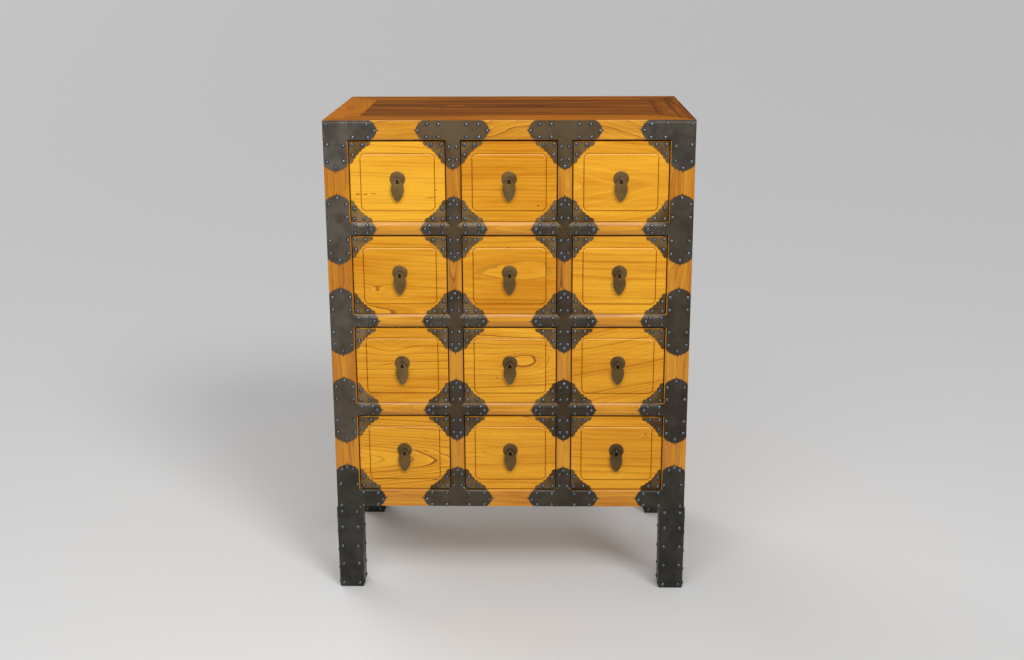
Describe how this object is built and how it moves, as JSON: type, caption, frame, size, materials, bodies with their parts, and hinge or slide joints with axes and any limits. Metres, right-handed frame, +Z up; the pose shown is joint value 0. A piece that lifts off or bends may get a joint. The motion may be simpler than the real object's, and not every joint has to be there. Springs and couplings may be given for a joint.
{
  "type": "chinese medicine cabinet",
  "caption": "Small wooden chest of drawers on square legs, with iron plates on its joints and a leaf-shaped drop pull on each drawer.",
  "frame": {"origin": "middle of the bounding box, on the floor that the legs stand on", "axes": "+Z up, -Y out of the drawer fronts, +X to the right as seen from the front"},
  "size_m": [0.703, 0.4399, 0.955],
  "materials": {
    "frame_wood": "honey-coloured hardwood, satin varnish",
    "top_wood": "red-brown hardwood, satin varnish",
    "drawer_wood": "honey-coloured hardwood with a flowing grain, satin varnish",
    "inner_wood": "plain pale wood, not varnished",
    "iron": "dark hand-worked sheet iron with a mottled patina",
    "brown_iron": "iron with a brown patina, rubbed at its edges"
  },
  "bodies": {
    "root": {"front_left_post": "frame_wood", "front_right_post": "frame_wood", "back_left_post": "frame_wood", "back_right_post": "frame_wood", "top_frame": "top_wood", "top_panel": "top_wood", "front_grid": "frame_wood", "left_side": "frame_wood", "right_side": "frame_wood", "back_wall": "frame_wood", "shelf_row1": "inner_wood", "shelf_row2": "inner_wood", "shelf_row3": "inner_wood", "shelf_row4": "inner_wood", "top_corner_plate_left": "iron", "top_corner_plate_right": "iron", "top_tee_plate_1": "iron", "top_tee_plate_2": "iron", "side_tee_plate_left_1": "iron", "side_tee_plate_left_2": "iron", "side_tee_plate_left_3": "iron", "side_tee_plate_right_1": "iron", "side_tee_plate_right_2": "iron", "side_tee_plate_right_3": "iron", "cross_plate_1_1": "iron", "cross_plate_1_2": "iron", "cross_plate_2_1": "iron", "cross_plate_2_2": "iron", "cross_plate_3_1": "iron", "cross_plate_3_2": "iron", "bottom_tee_plate_1": "iron", "bottom_tee_plate_2": "iron", "front_leg_iron_left": "iron", "front_leg_iron_right": "iron", "back_leg_sleeve_left": "iron", "back_leg_sleeve_right": "iron"},
    "drawer_row1_left": {"drawer_row1_left": "drawer_wood"},
    "drawer_row1_middle": {"drawer_row1_middle": "drawer_wood"},
    "drawer_row1_right": {"drawer_row1_right": "drawer_wood"},
    "drawer_row2_left": {"drawer_row2_left": "drawer_wood"},
    "drawer_row2_middle": {"drawer_row2_middle": "drawer_wood"},
    "drawer_row2_right": {"drawer_row2_right": "drawer_wood"},
    "drawer_row3_left": {"drawer_row3_left": "drawer_wood"},
    "drawer_row3_middle": {"drawer_row3_middle": "drawer_wood"},
    "drawer_row3_right": {"drawer_row3_right": "drawer_wood"},
    "drawer_row4_left": {"drawer_row4_left": "drawer_wood"},
    "drawer_row4_middle": {"drawer_row4_middle": "drawer_wood"},
    "drawer_row4_right": {"drawer_row4_right": "drawer_wood"},
    "drop_row1_left": {"drop_row1_left": "brown_iron"},
    "drop_row1_middle": {"drop_row1_middle": "brown_iron"},
    "drop_row1_right": {"drop_row1_right": "brown_iron"},
    "drop_row2_left": {"drop_row2_left": "brown_iron"},
    "drop_row2_middle": {"drop_row2_middle": "brown_iron"},
    "drop_row2_right": {"drop_row2_right": "brown_iron"},
    "drop_row3_left": {"drop_row3_left": "brown_iron"},
    "drop_row3_middle": {"drop_row3_middle": "brown_iron"},
    "drop_row3_right": {"drop_row3_right": "brown_iron"},
    "drop_row4_left": {"drop_row4_left": "brown_iron"},
    "drop_row4_middle": {"drop_row4_middle": "brown_iron"},
    "drop_row4_right": {"drop_row4_right": "brown_iron"}
  },
  "joints": [
    {"name": "slide_row1_left", "type": "slide", "parent": "root", "child": "drawer_row1_left", "axis": [0, -1, 0], "range_m": [0, 0.3]},
    {"name": "slide_row1_middle", "type": "slide", "parent": "root", "child": "drawer_row1_middle", "axis": [0, -1, 0], "range_m": [0, 0.3]},
    {"name": "slide_row1_right", "type": "slide", "parent": "root", "child": "drawer_row1_right", "axis": [0, -1, 0], "range_m": [0, 0.3]},
    {"name": "slide_row2_left", "type": "slide", "parent": "root", "child": "drawer_row2_left", "axis": [0, -1, 0], "range_m": [0, 0.3]},
    {"name": "slide_row2_middle", "type": "slide", "parent": "root", "child": "drawer_row2_middle", "axis": [0, -1, 0], "range_m": [0, 0.3]},
    {"name": "slide_row2_right", "type": "slide", "parent": "root", "child": "drawer_row2_right", "axis": [0, -1, 0], "range_m": [0, 0.3]},
    {"name": "slide_row3_left", "type": "slide", "parent": "root", "child": "drawer_row3_left", "axis": [0, -1, 0], "range_m": [0, 0.3]},
    {"name": "slide_row3_middle", "type": "slide", "parent": "root", "child": "drawer_row3_middle", "axis": [0, -1, 0], "range_m": [0, 0.3]},
    {"name": "slide_row3_right", "type": "slide", "parent": "root", "child": "drawer_row3_right", "axis": [0, -1, 0], "range_m": [0, 0.3]},
    {"name": "slide_row4_left", "type": "slide", "parent": "root", "child": "drawer_row4_left", "axis": [0, -1, 0], "range_m": [0, 0.3]},
    {"name": "slide_row4_middle", "type": "slide", "parent": "root", "child": "drawer_row4_middle", "axis": [0, -1, 0], "range_m": [0, 0.3]},
    {"name": "slide_row4_right", "type": "slide", "parent": "root", "child": "drawer_row4_right", "axis": [0, -1, 0], "range_m": [0, 0.3]},
    {"name": "swing_row1_left", "type": "hinge", "parent": "drawer_row1_left", "child": "drop_row1_left", "pos_m": [-0.21133, -0.21455, 0.844], "axis": [-1, 0, 0], "range_deg": [-5, 150]},
    {"name": "swing_row1_middle", "type": "hinge", "parent": "drawer_row1_middle", "child": "drop_row1_middle", "pos_m": [0, -0.21455, 0.844], "axis": [-1, 0, 0], "range_deg": [-5, 150]},
    {"name": "swing_row1_right", "type": "hinge", "parent": "drawer_row1_right", "child": "drop_row1_right", "pos_m": [0.21133, -0.21455, 0.844], "axis": [-1, 0, 0], "range_deg": [-5, 150]},
    {"name": "swing_row2_left", "type": "hinge", "parent": "drawer_row2_left", "child": "drop_row2_left", "pos_m": [-0.21133, -0.21455, 0.662], "axis": [-1, 0, 0], "range_deg": [-5, 150]},
    {"name": "swing_row2_middle", "type": "hinge", "parent": "drawer_row2_middle", "child": "drop_row2_middle", "pos_m": [0, -0.21455, 0.662], "axis": [-1, 0, 0], "range_deg": [-5, 150]},
    {"name": "swing_row2_right", "type": "hinge", "parent": "drawer_row2_right", "child": "drop_row2_right", "pos_m": [0.21133, -0.21455, 0.662], "axis": [-1, 0, 0], "range_deg": [-5, 150]},
    {"name": "swing_row3_left", "type": "hinge", "parent": "drawer_row3_left", "child": "drop_row3_left", "pos_m": [-0.21133, -0.21455, 0.48], "axis": [-1, 0, 0], "range_deg": [-5, 150]},
    {"name": "swing_row3_middle", "type": "hinge", "parent": "drawer_row3_middle", "child": "drop_row3_middle", "pos_m": [0, -0.21455, 0.48], "axis": [-1, 0, 0], "range_deg": [-5, 150]},
    {"name": "swing_row3_right", "type": "hinge", "parent": "drawer_row3_right", "child": "drop_row3_right", "pos_m": [0.21133, -0.21455, 0.48], "axis": [-1, 0, 0], "range_deg": [-5, 150]},
    {"name": "swing_row4_left", "type": "hinge", "parent": "drawer_row4_left", "child": "drop_row4_left", "pos_m": [-0.21133, -0.21455, 0.298], "axis": [-1, 0, 0], "range_deg": [-5, 150]},
    {"name": "swing_row4_middle", "type": "hinge", "parent": "drawer_row4_middle", "child": "drop_row4_middle", "pos_m": [0, -0.21455, 0.298], "axis": [-1, 0, 0], "range_deg": [-5, 150]},
    {"name": "swing_row4_right", "type": "hinge", "parent": "drawer_row4_right", "child": "drop_row4_right", "pos_m": [0.21133, -0.21455, 0.298], "axis": [-1, 0, 0], "range_deg": [-5, 150]}
  ]
}
